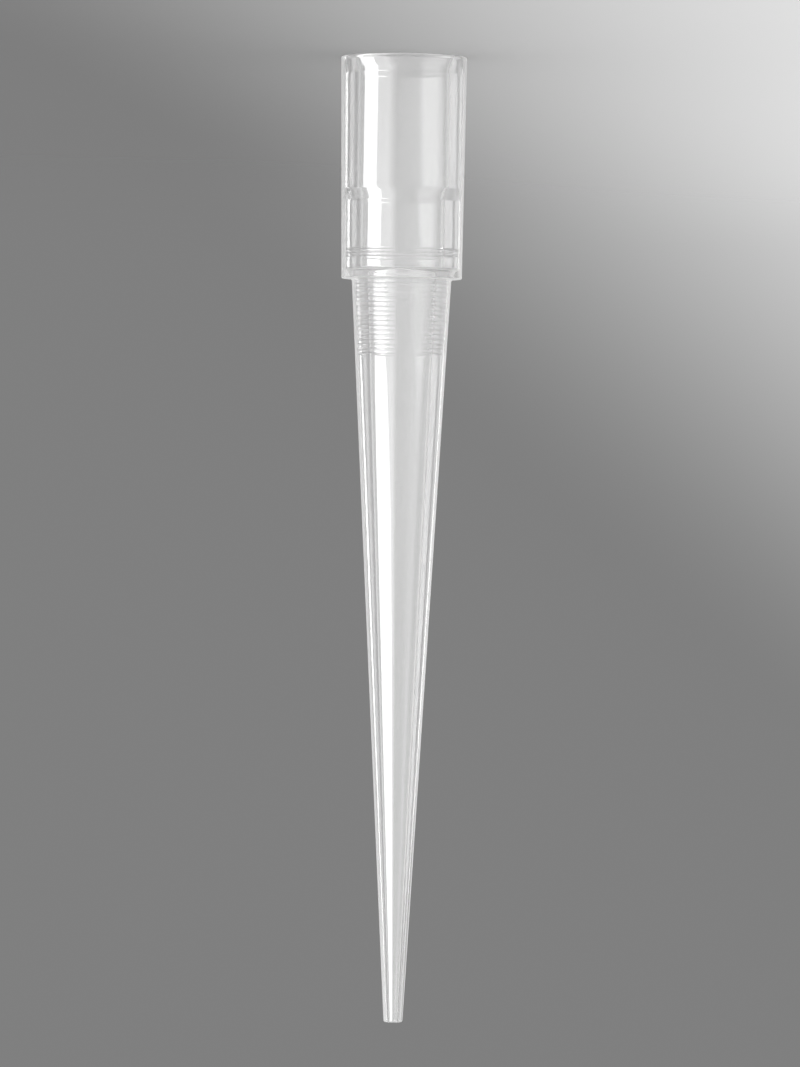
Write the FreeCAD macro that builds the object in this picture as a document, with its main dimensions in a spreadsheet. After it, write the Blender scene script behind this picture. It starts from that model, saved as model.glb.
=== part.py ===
import FreeCAD, Part

import os
import Sketcher

# A pipette tip for an automated liquid handler, moulded in one piece of clear polypropylene.
# The wide collar is a stepped socket that is pressed onto the pipette's mandrel.
# Below its shoulder a ringed neck runs into a long plain cone that ends in a fine orifice.
#
# Units are millimetres. The tip stands on its open rim, so the rim plane is z = 0,
# the z axis is the axis of the bore and the orifice points up.

SHEET_NAME = "Sizes"

SIZES = [
    # alias, value, what it is
    ("overall_length", "59.3", "rim to orifice face"),
    ("collar_length", "13.64", "rim to the underside of the shoulder"),
    ("collar_draft", "0.69", "draft of the collar's outside, degrees"),
    ("socket_bore", "5.68", "bore that takes the mandrel"),
    ("mouth_widening", "0.235", "how much wider the mouth's radius is than the socket's"),
    ("mouth_depth", "0.2", "straight part of the mouth"),
    ("lead_in_depth", "1.05", "rim to the end of the lead-in cone"),
    ("rim_wall", "0.79", "wall at the rim"),
    ("socket_depth", "8.1", "rim to the start of the step"),
    ("step_length", "0.73", "length of the step's cone"),
    ("step_height", "0.245", "how much the step narrows the bore's radius"),
    ("floor_thickness", "0.6", "socket floor to shoulder"),
    ("inlet_share", "0.85", "share of the floor's width that rounds into the passage"),
    ("shoulder_width", "0.64", "radial width of the shoulder"),
    ("neck_wall", "0.93", "wall of the neck where it leaves the shoulder"),
    ("orifice_bore", "0.52", "hole at the pointed end"),
    ("orifice_wall", "0.318", "wall at the pointed end"),
    ("neck_ring_count", "17", "raised rings inside the neck"),
    ("neck_ring_pitch", "0.29", "spacing of the neck's rings"),
    ("neck_ring_start", "0.55", "socket floor to the first neck ring"),
    ("neck_ring_width", "0.18", "width of a neck ring at its foot"),
    ("neck_ring_height", "0.035", "how far a neck ring stands out"),
    ("seal_ring_count", "3", "raised sealing rings in the narrow part of the socket"),
    ("seal_ring_pitch", "0.22", "spacing of the sealing rings"),
    ("seal_ring_start", "0.77", "socket floor to the nearest sealing ring"),
    ("seal_ring_width", "0.16", "width of a sealing ring at its foot"),
    ("seal_ring_height", "0.035", "how far a sealing ring stands out"),
    ("ring_root", "0.06", "how deep each ring's section reaches into the wall"),
    ("rim_round", "0.1", "round on the rim's outer edge"),
    ("mouth_chamfer", "0.08", "chamfer on the rim's inner edge"),
    ("corner_chamfer", "0.08", "chamfer on the shoulder's outer corner"),
    ("root_round", "0.22", "fillet between the shoulder and the neck"),
    ("end_round", "0.16", "round on the pointed end"),
]

# Radii and heights that follow from the sizes, as expressions on the sheet.
S = SHEET_NAME + "."
SOCKET_RADIUS = f"({S}socket_bore / 2)"
MOUTH_RADIUS = f"({SOCKET_RADIUS} + {S}mouth_widening)"
RIM_RADIUS = f"({MOUTH_RADIUS} + {S}rim_wall)"
SHOULDER_RADIUS = f"({RIM_RADIUS} - {S}collar_length * tan({S}collar_draft))"
NECK_RADIUS = f"({SHOULDER_RADIUS} - {S}shoulder_width)"
SEAT_RADIUS = f"({SOCKET_RADIUS} - {S}step_height)"
ORIFICE_RADIUS = f"({S}orifice_bore / 2)"
END_RADIUS = f"({ORIFICE_RADIUS} + {S}orifice_wall)"
STEP_END = f"({S}socket_depth + {S}step_length)"
FLOOR_HEIGHT = f"({S}collar_length - {S}floor_thickness)"
CONE_LENGTH = f"({S}overall_length - {S}collar_length)"
PASSAGE_TAPER = f"(({NECK_RADIUS} - {S}neck_wall - {ORIFICE_RADIUS}) / {CONE_LENGTH})"


def passage_radius(height):
    """Radius of the tapered passage at a height, as an expression."""
    return f"({ORIFICE_RADIUS} + {PASSAGE_TAPER} * ({S}overall_length - {height}))"


INLET_RADIUS = passage_radius(FLOOR_HEIGHT)
INLET_ROUND = f"({S}inlet_share * ({SEAT_RADIUS} - {INLET_RADIUS}))"


def seat_radius(height):
    """Radius of the narrow seat, which is the same at every height."""
    return SEAT_RADIUS


def make_sheet(doc):
    """The spreadsheet that holds the driving sizes."""
    sheet = doc.addObject("Spreadsheet::Sheet", SHEET_NAME)
    for row, (alias, number, meaning) in enumerate(SIZES, start=1):
        sheet.set(f"A{row}", alias)
        sheet.set(f"B{row}", number)
        sheet.set(f"C{row}", meaning)
        sheet.setAlias(f"B{row}", alias)
    doc.recompute()
    return sheet


def value(sketch, expression):
    """Present value of an expression, used to draw geometry near its final place."""
    return float(sketch.evalExpression(expression))


def new_sketch(body, name):
    """An empty sketch on the body's own XZ plane: its y axis is the tip's axis."""
    plane = [f for f in body.Origin.OriginFeatures if f.Role == "XZ_Plane"][0]
    sketch = body.newObject("Sketcher::SketchObject", name)
    sketch.AttachmentSupport = [(plane, "")]
    sketch.MapMode = "FlatFace"
    return sketch


def bind(sketch, kind, line, expression, label):
    """Holds a line's start at a distance from the axis or from the rim plane."""
    number = sketch.addConstraint(
        Sketcher.Constraint(kind, -1, 1, line, 1, value(sketch, expression))
    )
    sketch.renameConstraint(number, label)
    sketch.setExpression("Constraints." + label, expression)


def add_outline(sketch, corners):
    """A closed outline. Each corner is (label, radius, height); None is on the axis or rim plane."""
    first = sketch.GeometryCount
    count = len(corners)
    points = [
        FreeCAD.Vector(value(sketch, radius or "0"), value(sketch, height or "0"), 0)
        for label, radius, height in corners
    ]
    sketch.addGeometry(
        [Part.LineSegment(points[i], points[(i + 1) % count]) for i in range(count)], False
    )
    sketch.addConstraint(
        [
            Sketcher.Constraint("Coincident", first + i, 2, first + (i + 1) % count, 1)
            for i in range(count)
        ]
    )
    for line, (label, radius, height) in enumerate(corners, start=first):
        if radius is None:
            sketch.addConstraint(Sketcher.Constraint("PointOnObject", line, 1, -2))
        else:
            bind(sketch, "DistanceX", line, radius, label + "_radius")
        if height is None:
            sketch.addConstraint(Sketcher.Constraint("PointOnObject", line, 1, -1))
        else:
            bind(sketch, "DistanceY", line, height, label + "_height")


def add_ring(sketch, label, radius_at, height, width, rise):
    """Half section of one raised ring: a sharp crest on a foot that is sunk into the wall."""
    low = f"({height} - {width} / 2)"
    high = f"({height} + {width} / 2)"
    root = f"({radius_at(low)} + {S}ring_root)"
    add_outline(
        sketch,
        [
            (label + "_low_foot", radius_at(low), low),
            (label + "_low_root", root, low),
            (label + "_high_root", root, high),
            (label + "_high_foot", radius_at(high), high),
            (label + "_crest", f"({radius_at(height)} - {rise})", height),
        ],
    )


def turn(body, kind, name, sketch):
    """Revolves a sketch a full turn about the tip's axis, adding or removing material."""
    feature = body.newObject("PartDesign::" + kind, name)
    feature.Profile = sketch
    feature.ReferenceAxis = (sketch, ["V_Axis"])
    feature.Angle = 360
    body.Document.recompute()
    return feature


def dress_edge(body, kind, name, radius, height, size):
    """A Fillet or Chamfer on the one circular edge that has the given radius and height."""
    base = body.Tip
    at_radius = value(base, radius)
    at_height = value(base, height)
    edges = []
    for number, edge in enumerate(base.Shape.Edges, start=1):
        if isinstance(edge.Curve, Part.Circle):
            close = abs(edge.Curve.Radius - at_radius) < 1e-4
            if close and abs(edge.Curve.Center.z - at_height) < 1e-4:
                edges.append(f"Edge{number}")
    if len(edges) != 1:
        raise RuntimeError(f"{name}: found {len(edges)} edges where there is one")
    feature = body.newObject("PartDesign::" + kind, name)
    feature.Base = (base, edges)
    feature.setExpression({"Fillet": "Radius", "Chamfer": "Size"}[kind], size)
    body.Document.recompute()


def add_outside(body):
    """The solid outer form: drafted collar, flat shoulder and one long cone."""
    sketch = new_sketch(body, "outer_profile")
    add_outline(
        sketch,
        [
            ("axis_rim", None, None),
            ("rim", RIM_RADIUS, None),
            ("shoulder", SHOULDER_RADIUS, S + "collar_length"),
            ("neck", NECK_RADIUS, S + "collar_length"),
            ("end", END_RADIUS, S + "overall_length"),
            ("axis_end", None, S + "overall_length"),
        ],
    )
    turn(body, "Revolution", "outside", sketch)
    shoulder_height = S + "collar_length"
    end_height = S + "overall_length"
    dress_edge(body, "Fillet", "rim_rounding", RIM_RADIUS, "0", S + "rim_round")
    dress_edge(body, "Chamfer", "corner", SHOULDER_RADIUS, shoulder_height, S + "corner_chamfer")
    dress_edge(body, "Fillet", "root_fillet", NECK_RADIUS, shoulder_height, S + "root_round")
    dress_edge(body, "Fillet", "end_rounding", END_RADIUS, end_height, S + "end_round")


def cut_inside(body):
    """The bore: mouth, lead-in, socket, step, narrow seat, floor, inlet and tapered passage."""
    sketch = new_sketch(body, "bore_profile")
    add_outline(
        sketch,
        [
            ("axis_mouth", None, None),
            ("mouth", MOUTH_RADIUS, None),
            ("mouth_end", MOUTH_RADIUS, S + "mouth_depth"),
            ("socket", SOCKET_RADIUS, S + "lead_in_depth"),
            ("step", SOCKET_RADIUS, S + "socket_depth"),
            ("seat", SEAT_RADIUS, STEP_END),
            ("floor", SEAT_RADIUS, FLOOR_HEIGHT),
            ("passage", INLET_RADIUS, FLOOR_HEIGHT),
            ("orifice", ORIFICE_RADIUS, S + "overall_length"),
            ("axis_orifice", None, S + "overall_length"),
        ],
    )
    turn(body, "Groove", "inside", sketch)
    dress_edge(body, "Chamfer", "mouth_edge", MOUTH_RADIUS, "0", S + "mouth_chamfer")
    dress_edge(body, "Fillet", "inlet_rounding", INLET_RADIUS, FLOOR_HEIGHT, INLET_ROUND)


def add_seal_rings(body, sheet):
    """Raised rings near the bottom of the socket that seal on the mandrel."""
    sketch = new_sketch(body, "seal_ring_sections")
    for index in range(int(sheet.seal_ring_count)):
        height = f"({FLOOR_HEIGHT} - {S}seal_ring_start - {index} * {S}seal_ring_pitch)"
        width = S + "seal_ring_width"
        rise = S + "seal_ring_height"
        add_ring(sketch, f"seal_{index}", seat_radius, height, width, rise)
    turn(body, "Revolution", "seal_rings", sketch)


def add_neck_rings(body, sheet):
    """Fine raised rings that line the upper end of the tapered passage."""
    sketch = new_sketch(body, "neck_ring_sections")
    for index in range(int(sheet.neck_ring_count)):
        height = f"({FLOOR_HEIGHT} + {S}neck_ring_start + {index} * {S}neck_ring_pitch)"
        width = S + "neck_ring_width"
        rise = S + "neck_ring_height"
        add_ring(sketch, f"neck_{index}", passage_radius, height, width, rise)
    turn(body, "Revolution", "neck_rings", sketch)


def check(doc, bodies):
    """Stops on any failed object, or on a body that isn't one valid solid."""
    for item in doc.Objects:
        if "Invalid" in item.State or "Error" in item.State:
            raise RuntimeError(f"{item.Name} failed: {item.State}")
    for body in bodies:
        shape = body.Shape
        if shape.isNull() or not shape.isValid() or len(shape.Solids) != 1:
            raise RuntimeError(f"{body.Label} is not one valid solid")


def main():
    doc = FreeCAD.newDocument("pipette_tip")
    sheet = make_sheet(doc)

    tip = doc.addObject("PartDesign::Body", "pipette_tip")
    tip.Label = "pipette_tip"
    tip.Placement = FreeCAD.Placement()
    add_outside(tip)
    cut_inside(tip)
    add_seal_rings(tip, sheet)
    add_neck_rings(tip, sheet)
    doc.recompute()

    check(doc, [tip])
    os.makedirs("parts", exist_ok=True)
    tip.Shape.exportStep(f"parts/{tip.Label}.step")
    print(f"{tip.Label}: {tip.Shape.Volume:.3f} mm3, {len(tip.Shape.Faces)} faces")


main()
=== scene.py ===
import math

import bpy
import numpy as np
from mathutils import Matrix, Vector, noise


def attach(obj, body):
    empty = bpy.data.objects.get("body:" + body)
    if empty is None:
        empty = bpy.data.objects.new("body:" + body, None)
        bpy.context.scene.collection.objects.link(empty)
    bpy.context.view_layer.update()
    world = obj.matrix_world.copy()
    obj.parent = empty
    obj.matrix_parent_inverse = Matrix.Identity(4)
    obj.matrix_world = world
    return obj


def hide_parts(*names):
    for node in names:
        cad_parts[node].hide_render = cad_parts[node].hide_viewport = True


# A pipette tip of clear polypropylene. It stands on its open rim with the fine orifice
# up, and the camera hangs upside down, so that it is seen with its point at the bottom.

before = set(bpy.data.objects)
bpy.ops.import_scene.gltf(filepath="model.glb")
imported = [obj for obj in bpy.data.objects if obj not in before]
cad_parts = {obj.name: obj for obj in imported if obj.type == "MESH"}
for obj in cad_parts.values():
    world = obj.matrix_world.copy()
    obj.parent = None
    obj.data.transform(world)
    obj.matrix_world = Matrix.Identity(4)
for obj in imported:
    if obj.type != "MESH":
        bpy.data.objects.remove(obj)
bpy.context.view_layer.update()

MM = 0.001

# The tip's section, in millimetres and radians. Heights are measured from the rim.
OVERALL_LENGTH = 59.3
COLLAR_LENGTH = 13.64
COLLAR_DRAFT = math.radians(0.69)
SOCKET_RADIUS = 2.84
MOUTH_WIDENING = 0.235
MOUTH_DEPTH = 0.2
LEAD_IN_DEPTH = 1.05
RIM_WALL = 0.79
SOCKET_DEPTH = 8.1
STEP_LENGTH = 0.73
STEP_HEIGHT = 0.245
FLOOR_THICKNESS = 0.6
SHOULDER_WIDTH = 0.64
NECK_WALL = 0.93
ORIFICE_RADIUS = 0.26
ORIFICE_WALL = 0.318
NECK_RINGS = {"count": 17, "pitch": 0.29, "start": 0.55, "width": 0.18, "height": 0.035}
SEAL_RINGS = {"count": 3, "pitch": 0.22, "start": 0.77, "width": 0.16, "height": 0.035}

# How far from each corner its rounding starts. The passage's inlet rounds over a share of
# the socket's floor.
RIM_ROUND = 0.1
MOUTH_ROUND = 0.08
LEAD_IN_ROUND = 0.05
STEP_ROUND = 0.04
FLOOR_ROUND = 0.1
CORNER_ROUND = 0.08
ROOT_ROUND = 0.22
END_ROUND = 0.16
ORIFICE_ROUND = 0.04
INLET_SHARE = 0.85

MOUTH_RADIUS = SOCKET_RADIUS + MOUTH_WIDENING
RIM_RADIUS = MOUTH_RADIUS + RIM_WALL
SHOULDER_RADIUS = RIM_RADIUS - COLLAR_LENGTH * math.tan(COLLAR_DRAFT)
NECK_RADIUS = SHOULDER_RADIUS - SHOULDER_WIDTH
SEAT_RADIUS = SOCKET_RADIUS - STEP_HEIGHT
END_RADIUS = ORIFICE_RADIUS + ORIFICE_WALL
STEP_END = SOCKET_DEPTH + STEP_LENGTH
FLOOR_HEIGHT = COLLAR_LENGTH - FLOOR_THICKNESS
CONE_LENGTH = OVERALL_LENGTH - COLLAR_LENGTH
PASSAGE_TAPER = (NECK_RADIUS - NECK_WALL - ORIFICE_RADIUS) / CONE_LENGTH

# How finely the mesh follows the section.
AROUND = 256
LONGEST_STEP = 1.7
ROUND_STEPS = 4
RING_STEPS = 6

# The moulded surface: broad waves and fine lengthwise streaks, in millimetres at the rim,
# with how fast each changes across the tip and along it. Streaks follow the angle around
# the tip, so they draw together towards the point.
WAVE_HEIGHT = 0.0018
WAVE_ACROSS = 0.45
WAVE_ALONG = 0.11
STREAK_HEIGHT = 0.0008
STREAK_ACROSS = 5.0
STREAK_ALONG = 0.03

# Clear polypropylene. Haze is the share of milkiness in it. It changes from place to
# place by a share of itself, falls to another share of itself at the point, and grows
# where the surface is seen edge on. The roughness changes within a range, and one value
# stands for it where textures are left out. Noise keeps mostly to its middle range, and
# its scales are per metre.
HAZE = 0.19
HAZE_CHANGE = 0.12
POINT_HAZE = 0.7
EDGE_FROM = 0.6
EDGE_HAZE = 2.0
RESIN_COLOUR = (0.99, 0.99, 0.99, 1)
MILK_COLOURS = ((0.93, 0.93, 0.925, 1), (0.96, 0.96, 0.96, 1))
SHADOW_COLOUR = (0.96, 0.96, 0.96, 1)
RESIN_IOR = 1.49
RESIN_ROUGHNESS = 0.03
ROUGHNESS_RANGE = (0.02, 0.05)
FLOW_SCALE = 700.0
FLOW_STRETCH = 0.05
FLOW_DETAIL = 4.0
GRAIN_SCALE = 9000.0
GRAIN_DETAIL = 2.0
GRAIN_STRENGTH = 0.15
GRAIN_DEPTH = 2e-6
NOISE_MIDDLE = (0.3, 0.7)

# The backdrop and the floor share one painted pool of light: their colour brightens from a
# mid tone to a light one towards one side. A slope is the direction that it brightens in,
# and how fast. The floor reaches and fades out at distances in metres.
BACKDROP_TONE = 0.214
PAINTED_POOL_TONE = 0.82
BACKDROP_SLOPE = (-7.08, 0, -8.43)
BACKDROP_PAINTED_POOL = (0.174, 1.174)
PAINTED_POOL_THROUGH_TIP = 0.33
FLOOR_SLOPE = (-16.3, -1.19, 0)
FLOOR_PAINTED_POOL = (-0.393, 0.607)
FLOOR_SHARE = 0.93
FLOOR_REACH = 0.5
FLOOR_FADE = (0, 0.3)

# On the backdrop the painted light fills a pool, whose azimuth and elevation are in degrees
# and whose radii are distances on a unit sphere. The ceiling is lighter again.
POOL_CENTRE = (-4.0, -3.0)
POOL_RADII = (0.21, 0.12)
CEILING_TONE = 0.7
CEILING_HEIGHTS = (0.45, 0.8)
AMBIENT_COLOUR = (0.94, 0.94, 0.94, 1)

# The lamps are placed by angle, in degrees, as seen from the tip, at a distance in metres.
# A crisp edge is this soft. A lamp may be wider or narrower in a belt across it, whose
# core and edges are given as heights off its middle.
LAMP_DISTANCE = 6.0
CRISP = 0.1
BELT_MIDDLE = 0.6
STRIP_BELT = (1.4, 3.3)
FILL_BELT = (2.6, 4.6)

# The camera: level with the middle of the tip, far away with a long lens. All of it is in
# millimetres, but its clipping distances are in metres.
CAMERA_DISTANCE = 435.07
CAMERA_HEIGHT = 29.28
CAMERA_SIDE = -0.086
CAMERA_ROLL = math.radians(179.33)
LENS = 238.9
SENSOR = 36.0
CLIP_START = 0.01
CLIP_END = 20


# ---------------------------------------------------------------- the tip's mesh


def passage_radius(height):
    """Radius of the tapered passage at a height."""
    return ORIFICE_RADIUS + PASSAGE_TAPER * (OVERALL_LENGTH - height)


def seat_radius(height):
    """Radius of the narrow seat, which is the same at every height."""
    return SEAT_RADIUS


def rings(kind, radius_at, way):
    """Points along a row of raised rings, from the socket's floor outwards: way is 1 into
    the passage and -1 into the seat."""
    points = []
    for ring in range(kind["count"]):
        crest = FLOOR_HEIGHT + way * (kind["start"] + ring * kind["pitch"])
        for step in range(RING_STEPS + 1):
            share = step / RING_STEPS - 0.5
            height = crest + way * share * kind["width"]
            rise = kind["height"] * math.cos(math.pi * share) ** 2
            points.append((radius_at(height) - rise, height, 0))
    return points


def rounded(corners):
    """A closed outline through (radius, height, setback) corners, with each corner rounded."""
    points = []
    for number, (radius, height, setback) in enumerate(corners):
        here = Vector((radius, height))
        if not setback:
            points.append(here)
            continue
        before = Vector(corners[number - 1][:2]) - here
        after = Vector(corners[(number + 1) % len(corners)][:2]) - here
        start = here + before.normalized() * setback
        end = here + after.normalized() * setback
        for step in range(ROUND_STEPS + 1):
            share = step / ROUND_STEPS
            points.append(start.lerp(here, share).lerp(here.lerp(end, share), share))
    return points


def divided(points):
    """The outline with its long straight stretches cut into short ones."""
    fine = []
    for start, end in zip(points, points[1:] + points[:1]):
        steps = math.ceil((end - start).length / LONGEST_STEP)
        fine += [start.lerp(end, step / steps) for step in range(steps)]
    return fine


def section():
    """The tip's closed section as (radius, height) points: up the outside, down the bore."""
    outside = [
        (RIM_RADIUS, 0, RIM_ROUND),
        (SHOULDER_RADIUS, COLLAR_LENGTH, CORNER_ROUND),
        (NECK_RADIUS, COLLAR_LENGTH, ROOT_ROUND),
        (END_RADIUS, OVERALL_LENGTH, END_ROUND),
        (ORIFICE_RADIUS, OVERALL_LENGTH, ORIFICE_ROUND),
    ]
    passage = rings(NECK_RINGS, passage_radius, 1)[::-1]
    inlet = passage_radius(FLOOR_HEIGHT)
    floor = [
        (inlet, FLOOR_HEIGHT, INLET_SHARE * (SEAT_RADIUS - inlet)),
        (SEAT_RADIUS, FLOOR_HEIGHT, FLOOR_ROUND),
    ]
    seat = rings(SEAL_RINGS, seat_radius, -1)
    socket = [
        (SEAT_RADIUS, STEP_END, STEP_ROUND),
        (SOCKET_RADIUS, SOCKET_DEPTH, STEP_ROUND),
        (SOCKET_RADIUS, LEAD_IN_DEPTH, LEAD_IN_ROUND),
        (MOUTH_RADIUS, MOUTH_DEPTH, LEAD_IN_ROUND),
        (MOUTH_RADIUS, 0, MOUTH_ROUND),
    ]
    return divided(rounded(outside + passage + floor + seat + socket))


def waviness(places):
    """How deep the moulded surface lies below its true form: broad waves and fine streaks."""
    depths = []
    for x, y, z in places.reshape(-1, 3):
        radius = math.hypot(x, y)
        wave = noise.noise(Vector((x * WAVE_ACROSS, y * WAVE_ACROSS, z * WAVE_ALONG)))
        across = STREAK_ACROSS / radius
        streak = noise.noise(Vector((x * across, y * across, z * STREAK_ALONG)))
        depth = WAVE_HEIGHT * (1 + wave) + STREAK_HEIGHT * (1 + streak)
        depths.append(depth * radius / RIM_RADIUS)
    return np.array(depths).reshape(places.shape[:-1])


def facing(places):
    """The direction that a grid of places faces, from its neighbours along and around."""
    along = np.roll(places, -1, axis=0) - np.roll(places, 1, axis=0)
    around = np.roll(places, -1, axis=1) - np.roll(places, 1, axis=1)
    normals = np.cross(around, along)
    return normals / np.linalg.norm(normals, axis=-1, keepdims=True)


def turned(outline):
    """The outline turned about the tip's axis, as a grid of places in millimetres."""
    angles = np.arange(AROUND) * 2 * math.pi / AROUND
    radii = np.array([point[0] for point in outline])[:, None]
    heights = np.array([point[1] for point in outline])[:, None]
    return np.stack(
        (radii * np.cos(angles), radii * np.sin(angles), heights + 0 * angles), axis=-1
    )


def grid_faces(rows, columns):
    """Faces of a grid of vertices that closes on itself in both directions."""
    faces = []
    for row in range(rows):
        here, onward = row * columns, (row + 1) % rows * columns
        for column in range(columns):
            beside = (column + 1) % columns
            faces.append((here + column, here + beside, onward + beside, onward + column))
    return faces


def make_tip():
    """The visible tip: one closed lathed mesh with smooth normals and a moulded waviness."""
    places = turned(section())
    places = places - facing(places) * waviness(places)[..., None]
    normals = facing(places)
    mesh = bpy.data.meshes.new("pipette_tip_visual")
    faces = grid_faces(len(places), AROUND)
    mesh.from_pydata((places.reshape(-1, 3) * MM).tolist(), [], faces)
    mesh.shade_smooth()
    mesh.normals_split_custom_set_from_vertices(normals.reshape(-1, 3).tolist())
    tip = bpy.data.objects.new("pipette_tip_visual", mesh)
    tip.data.materials.append(clear_polypropylene())
    bpy.context.scene.collection.objects.link(tip)
    return tip


# ---------------------------------------------------------------- nodes


def add(tree, kind, **settings):
    """A new node. Settings name its properties, or its inputs as they are labelled."""
    node = tree.nodes.new(kind)
    for name, setting in settings.items():
        if hasattr(node, name):
            setattr(node, name, setting)
        else:
            node.inputs[name.replace("_", " ")].default_value = setting
    return node


def feed(tree, socket, value):
    """Gives a socket a number, or links another node's output to it."""
    if isinstance(value, (int, float)):
        socket.default_value = value
    else:
        tree.links.new(value, socket)


def math_node(tree, operation, *values):
    """The result of one step of arithmetic on numbers or on other nodes' outputs."""
    node = add(tree, "ShaderNodeMath", operation=operation)
    for socket, value in zip(node.inputs, values):
        feed(tree, socket, value)
    return node.outputs[0]


def vector_node(tree, operation, vector, constant=(0, 0, 0)):
    """A number worked out from a vector and a constant one."""
    node = add(tree, "ShaderNodeVectorMath", operation=operation)
    tree.links.new(vector, node.inputs[0])
    node.inputs[1].default_value = constant
    return node.outputs["Value"]


def ramp(tree, value, source, target, shape="LINEAR"):
    """Turns a value that runs over the source range into one that runs over the target's."""
    node = add(tree, "ShaderNodeMapRange", interpolation_type=shape, From_Min=source[0],
               From_Max=source[1], To_Min=target[0], To_Max=target[1])
    tree.links.new(value, node.inputs["Value"])
    return node.outputs[0]


def mixed(tree, share, first, second):
    """The two shaders mixed: all first at a share of 0, all second at 1 or more."""
    mix = add(tree, "ShaderNodeMixShader")
    feed(tree, mix.inputs[0], share)
    tree.links.new(first, mix.inputs[1])
    tree.links.new(second, mix.inputs[2])
    return mix.outputs[0]


def new_material(name):
    """An empty material and its node tree and output."""
    material = bpy.data.materials.new(name)
    material.use_nodes = True
    tree = material.node_tree
    tree.nodes.clear()
    return material, tree, add(tree, "ShaderNodeOutputMaterial")


# ---------------------------------------------------------------- materials


# A mix node's sockets for colours.
FIRST_COLOUR = 6
SECOND_COLOUR = 7
MIXED_COLOUR = 2


def pattern(tree, place, scale, detail):
    """A noise texture over places, as a number that is mostly near a half."""
    texture = add(tree, "ShaderNodeTexNoise", Scale=scale, Detail=detail)
    tree.links.new(place, texture.inputs["Vector"])
    return texture.outputs["Fac"]


def flow_pattern(tree, place):
    """Streaks along the tip, as the resin flowed when it was moulded."""
    stretch = add(tree, "ShaderNodeMapping", Scale=(1, 1, FLOW_STRETCH))
    tree.links.new(place, stretch.inputs["Vector"])
    return pattern(tree, stretch.outputs[0], FLOW_SCALE, FLOW_DETAIL)


def clear_resin(tree, place, flow):
    """The clear share of the resin, with a fine grain on its skin."""
    grain = add(tree, "ShaderNodeBump", Strength=GRAIN_STRENGTH, Distance=GRAIN_DEPTH)
    tree.links.new(pattern(tree, place, GRAIN_SCALE, GRAIN_DETAIL), grain.inputs["Height"])
    resin = add(tree, "ShaderNodeBsdfPrincipled", Base_Color=RESIN_COLOUR,
                Roughness=RESIN_ROUGHNESS, IOR=RESIN_IOR, Transmission_Weight=1.0)
    tree.links.new(ramp(tree, flow, NOISE_MIDDLE, ROUGHNESS_RANGE), resin.inputs["Roughness"])
    tree.links.new(grain.outputs[0], resin.inputs["Normal"])
    return resin.outputs[0]


def milky_resin(tree, flow):
    """The milky share of the resin, which scatters light back and onwards alike."""
    tint = add(tree, "ShaderNodeMix", data_type="RGBA")
    tint.inputs[FIRST_COLOUR].default_value = MILK_COLOURS[0]
    tint.inputs[SECOND_COLOUR].default_value = MILK_COLOURS[1]
    tree.links.new(flow, tint.inputs[0])
    ways = []
    for kind in ("ShaderNodeBsdfDiffuse", "ShaderNodeBsdfTranslucent"):
        way = add(tree, kind)
        tree.links.new(tint.outputs[MIXED_COLOUR], way.inputs["Color"])
        ways.append(way.outputs[0])
    return mixed(tree, 0.5, *ways)


def milkiness(tree, place, flow):
    """How milky the resin is: streaky, less so towards the point, more so seen edge on."""
    streaky = ramp(tree, flow, NOISE_MIDDLE, (HAZE * (1 - HAZE_CHANGE), HAZE * (1 + HAZE_CHANGE)))
    parts = add(tree, "ShaderNodeSeparateXYZ")
    tree.links.new(place, parts.inputs[0])
    cone = (COLLAR_LENGTH * MM, OVERALL_LENGTH * MM)
    thinning = ramp(tree, parts.outputs["Z"], cone, (1, POINT_HAZE))
    edge = add(tree, "ShaderNodeLayerWeight")
    skin = ramp(tree, edge.outputs["Facing"], (EDGE_FROM, 1), (0, EDGE_HAZE))
    return math_node(tree, "ADD", math_node(tree, "MULTIPLY", streaky, thinning), skin)


def clear_polypropylene():
    """Clear polypropylene with the slight, streaky milkiness of the natural resin. Lamps
    shine straight through it, because its shadow is that of a nearly clear sheet."""
    material, tree, output = new_material("clear_polypropylene")
    place = add(tree, "ShaderNodeTexCoord").outputs["Object"]
    flow = flow_pattern(tree, place)
    resin = clear_resin(tree, place, flow)
    body = mixed(tree, milkiness(tree, place, flow), resin, milky_resin(tree, flow))
    shadow = add(tree, "ShaderNodeBsdfTransparent", Color=SHADOW_COLOUR)
    path = add(tree, "ShaderNodeLightPath")
    surface = mixed(tree, path.outputs["Is Shadow Ray"], body, shadow.outputs[0])
    tree.links.new(surface, output.inputs["Surface"])
    return material


def floor_material():
    """Pale floor with a painted pool of light that brightens its colour to one side. It fades into
    the surroundings, and lets by the rays that cross the tip.
    """
    material, tree, output = new_material("studio_floor")
    place = add(tree, "ShaderNodeTexCoord").outputs["Object"]
    # Painted pool of light: the floor's colour brightens from a mid tone to a light one towards one
    # side.
    slope = vector_node(tree, "DOT_PRODUCT", place, FLOOR_SLOPE)
    painted_pool_tones = (FLOOR_SHARE * BACKDROP_TONE, FLOOR_SHARE * PAINTED_POOL_TONE)
    pale = add(tree, "ShaderNodeBsdfDiffuse")
    tree.links.new(ramp(tree, slope, FLOOR_PAINTED_POOL, painted_pool_tones, "SMOOTHSTEP"), pale.inputs["Color"])
    distance = vector_node(tree, "LENGTH", place)
    fade = ramp(tree, distance, FLOOR_FADE, (1, 0), "SMOOTHSTEP")
    path = add(tree, "ShaderNodeLightPath")
    direct = math_node(tree, "SUBTRACT", 1, path.outputs["Is Transmission Ray"])
    clear = add(tree, "ShaderNodeBsdfTransparent")
    solid = math_node(tree, "MULTIPLY", fade, direct)
    surface = mixed(tree, solid, clear.outputs[0], pale.outputs[0])
    tree.links.new(surface, output.inputs["Surface"])
    return material


# ---------------------------------------------------------------- studio


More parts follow.
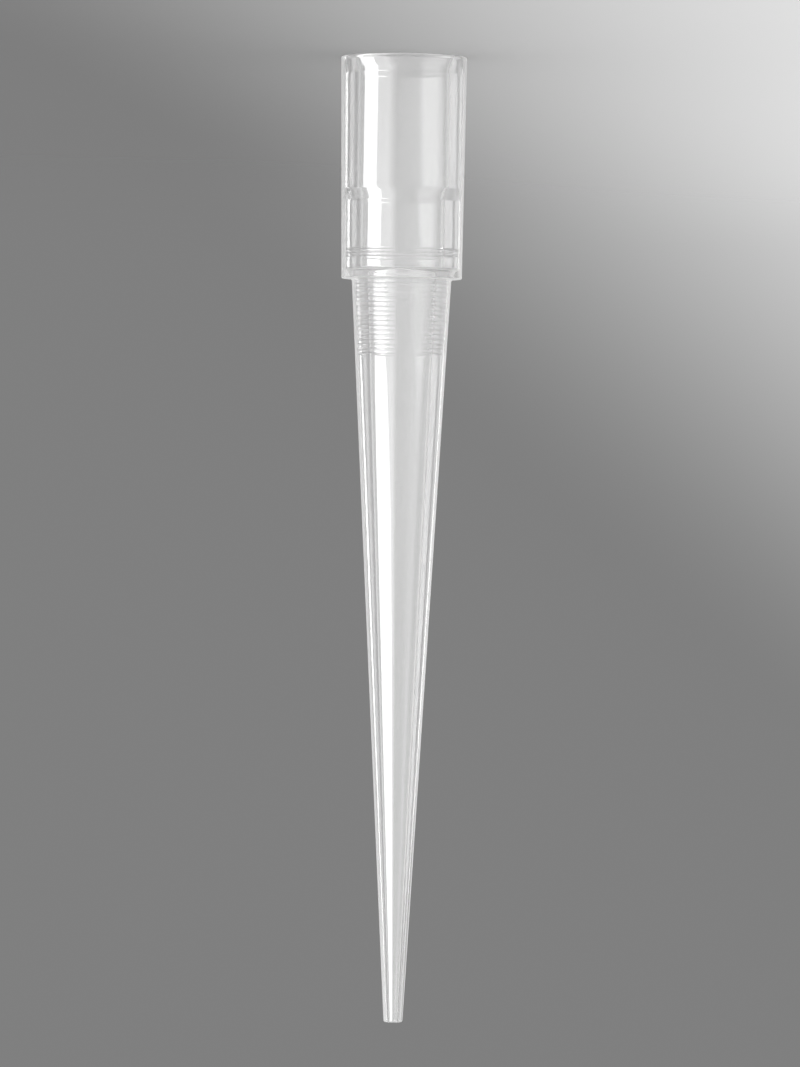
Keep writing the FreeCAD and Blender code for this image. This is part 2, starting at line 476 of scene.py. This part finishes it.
def direction(azimuth, elevation):
    """Unit vector from the tip, from degrees. Azimuth 0 is straight behind it, 90 along +X."""
    across, up = math.radians(azimuth), math.radians(elevation)
    return Vector((math.sin(across) * math.cos(up), math.cos(across) * math.cos(up), math.sin(up)))


def span(degrees):
    """How wide something at the lamps' distance is that spans an angle seen from the tip."""
    return 2 * LAMP_DISTANCE * math.tan(math.radians(degrees) / 2)


def rise(tree, value, start, inwards):
    """A number that rises softly from 0 at a lamp's edge to 1 this far inwards from it."""
    return ramp(tree, value, (start, start + inwards), (0, 1), "SMOOTHSTEP")


def softbox_glow(tree, light, middle_elevation, sides, ends, trims, belt):
    """The softbox's brightness over its face, as lamp() says."""
    place = add(tree, "ShaderNodeTexCoord")
    parts = add(tree, "ShaderNodeSeparateXYZ")
    tree.links.new(place.outputs["Object"], parts.inputs[0])
    across, up = parts.outputs["X"], parts.outputs["Y"]
    belt_middle = span(BELT_MIDDLE - middle_elevation)
    off_belt = math_node(tree, "ABSOLUTE", math_node(tree, "SUBTRACT", up, belt_middle))
    core, reach = (span(degrees) for degrees in belt)
    near, far = (span(degrees) for degrees in trims)
    trim = ramp(tree, off_belt, (core, reach), (near, far))
    half_width, half_height = light.size / 2, light.size_y / 2
    shares = [
        rise(tree, math_node(tree, "SUBTRACT", across, trim), -half_width, span(sides[0])),
        rise(tree, math_node(tree, "ADD", across, trim), half_width, -span(sides[1])),
        rise(tree, up, -half_height, span(ends[0])),
        rise(tree, up, half_height, -span(ends[1])),
    ]
    strength = shares.pop()
    for share in shares:
        strength = math_node(tree, "MULTIPLY", strength, share)
    glow = add(tree, "ShaderNodeEmission")
    tree.links.new(strength, glow.inputs["Strength"])
    return glow.outputs[0]


def lamp(name, azimuths, elevations, brightness, sides=(CRISP, CRISP), ends=(CRISP, CRISP),
         trims=(0, 0), belt=STRIP_BELT):
    """A softbox that fills these azimuths and elevations, in degrees, as seen from the tip.
    Its brightness rises from its sides and its ends over the degrees given. Each side is
    trimmed by the first of trims in the belt's core, and by the second beyond its reach."""
    middle_elevation = sum(elevations) / 2
    middle = direction(sum(azimuths) / 2, middle_elevation)
    light = bpy.data.lights.new(name, "AREA")
    light.shape = "RECTANGLE"
    light.size = span(azimuths[1] - azimuths[0])
    light.size_y = span(elevations[1] - elevations[0])
    light.energy = brightness * math.pi * light.size * light.size_y
    light.use_nodes = True
    tree = light.node_tree
    tree.nodes.clear()
    glow = softbox_glow(tree, light, middle_elevation, sides, ends, trims, belt)
    output = add(tree, "ShaderNodeOutputLight")
    tree.links.new(glow, output.inputs["Surface"])
    softbox = bpy.data.objects.new(name, light)
    softbox.location = Vector((0, 0, CAMERA_HEIGHT * MM)) + middle * LAMP_DISTANCE
    softbox.rotation_euler = (-middle).to_track_quat("-Z", "Y").to_euler()
    softbox.visible_camera = False
    bpy.context.scene.collection.objects.link(softbox)


def make_lamps():
    """Tall softboxes behind the tip, as clear plastic is lit, and a broad one in front. Left
    and right are as the camera sees them, so left is +X."""
    left = {"azimuths": (29, 54), "brightness": 0.42, "sides": (8, 4)}
    right = {"azimuths": (-68, -24), "brightness": 0.56, "sides": (12, 6)}
    lamp("strip_behind_left", azimuths=(4.3, 21.9), elevations=(-9, 22), brightness=1.7,
         trims=(0, 3.0))
    lamp("fill_behind_left", azimuths=(1.1, 7.6), elevations=(-12, 30), brightness=0.58,
         sides=(CRISP, 2.7))
    lamp("panel_left", elevations=(-40, 5), ends=(CRISP, 1.5), **left)
    lamp("fill_below_right", azimuths=(-23, -3.0), elevations=(-12, -1.0), brightness=0.44,
         sides=(3.0, 8), ends=(CRISP, 2.0), trims=(3.6, 0), belt=FILL_BELT)
    lamp("fill_above_right", azimuths=(-22, -2.3), elevations=(2.9, 30), brightness=0.37,
         sides=(3.8, 10), ends=(1.0, CRISP))
    lamp("panel_right", elevations=(-40, 5.4), ends=(CRISP, 2.6), **right)
    lamp("panel_above_left", elevations=(12, 32), ends=(6, 3), **left)
    lamp("panel_above_right", elevations=(12, 32), ends=(6, 3), **right)
    lamp("front_softbox", azimuths=(135, 165), elevations=(15, 55), brightness=1.3)


def make_floor():
    """The floor that the tip stands on."""
    mesh = bpy.data.meshes.new("studio_floor")
    corners = [(-1, -1), (1, -1), (1, 1), (-1, 1)]
    mesh.from_pydata([(x * FLOOR_REACH, y * FLOOR_REACH, 0) for x, y in corners], [], [(0, 1, 2, 3)])
    floor = bpy.data.objects.new("studio_floor", mesh)
    bpy.context.scene.collection.objects.link(floor)
    floor.data.materials.append(floor_material())


def backdrop_tone(tree, path):
    """A mid grey that brightens to one side in a painted pool of light, under a pale ceiling.
    Through the tip the painted pool is weaker."""
    way = add(tree, "ShaderNodeTexCoord").outputs["Generated"]
    # Painted pool of light: the backdrop's colour brightens towards one side in a soft pool.
    off_centre = vector_node(tree, "DISTANCE", way, direction(*POOL_CENTRE))
    painted_pool_mask = ramp(tree, off_centre, POOL_RADII, (0, 1), "SMOOTHSTEP")
    slope = vector_node(tree, "DOT_PRODUCT", way, BACKDROP_SLOPE)
    brighter = (0, PAINTED_POOL_TONE - BACKDROP_TONE)
    painted_brightening = ramp(tree, slope, BACKDROP_PAINTED_POOL, brighter, "SMOOTHSTEP")
    parts = add(tree, "ShaderNodeSeparateXYZ")
    tree.links.new(way, parts.inputs[0])
    rising = (BACKDROP_TONE, CEILING_TONE)
    ceiling = ramp(tree, parts.outputs["Z"], CEILING_HEIGHTS, rising, "SMOOTHSTEP")
    share = ramp(tree, path.outputs["Is Camera Ray"], (0, 1), (PAINTED_POOL_THROUGH_TIP, 1))
    glow = math_node(tree, "MULTIPLY", painted_pool_mask, painted_brightening)
    return math_node(tree, "MULTIPLY_ADD", glow, share, ceiling)


def make_world():
    """The studio's surroundings. The backdrop is seen, straight or in and through the tip,
    and the light that falls on everything is even."""
    world = bpy.data.worlds.new("studio")
    bpy.context.scene.world = world
    world.use_nodes = True
    tree = world.node_tree
    tree.nodes.clear()
    output = add(tree, "ShaderNodeOutputWorld")
    path = add(tree, "ShaderNodeLightPath")
    backdrop = add(tree, "ShaderNodeBackground")
    tree.links.new(backdrop_tone(tree, path), backdrop.inputs["Color"])
    seen = path.outputs["Is Camera Ray"]
    for kind in ("Is Glossy Ray", "Is Transmission Ray"):
        seen = math_node(tree, "MAXIMUM", seen, path.outputs[kind])
    even = add(tree, "ShaderNodeBackground", Color=AMBIENT_COLOUR)
    surface = mixed(tree, seen, even.outputs[0], backdrop.outputs[0])
    tree.links.new(surface, output.inputs["Surface"])


def make_camera():
    """A far camera with a long lens, level with the middle of the tip and upside down."""
    camera = bpy.data.cameras.new("camera")
    camera.lens = LENS
    camera.sensor_width = SENSOR
    camera.clip_start = CLIP_START
    camera.clip_end = CLIP_END
    eye = bpy.data.objects.new("camera", camera)
    aim = Vector((CAMERA_SIDE, 0, CAMERA_HEIGHT)) * MM
    eye.matrix_world = (
        Matrix.Translation(aim - Vector((0, CAMERA_DISTANCE * MM, 0)))
        @ Matrix.Rotation(CAMERA_ROLL, 4, "Y")
        @ Matrix.Rotation(math.pi / 2, 4, "X")
    )
    bpy.context.scene.collection.objects.link(eye)
    bpy.context.scene.camera = eye


bpy.context.scene.view_settings.view_transform = "Standard"

tip = make_tip()
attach(tip, "root")
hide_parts("pipette_tip")

make_floor()
make_world()
make_lamps()
make_camera()
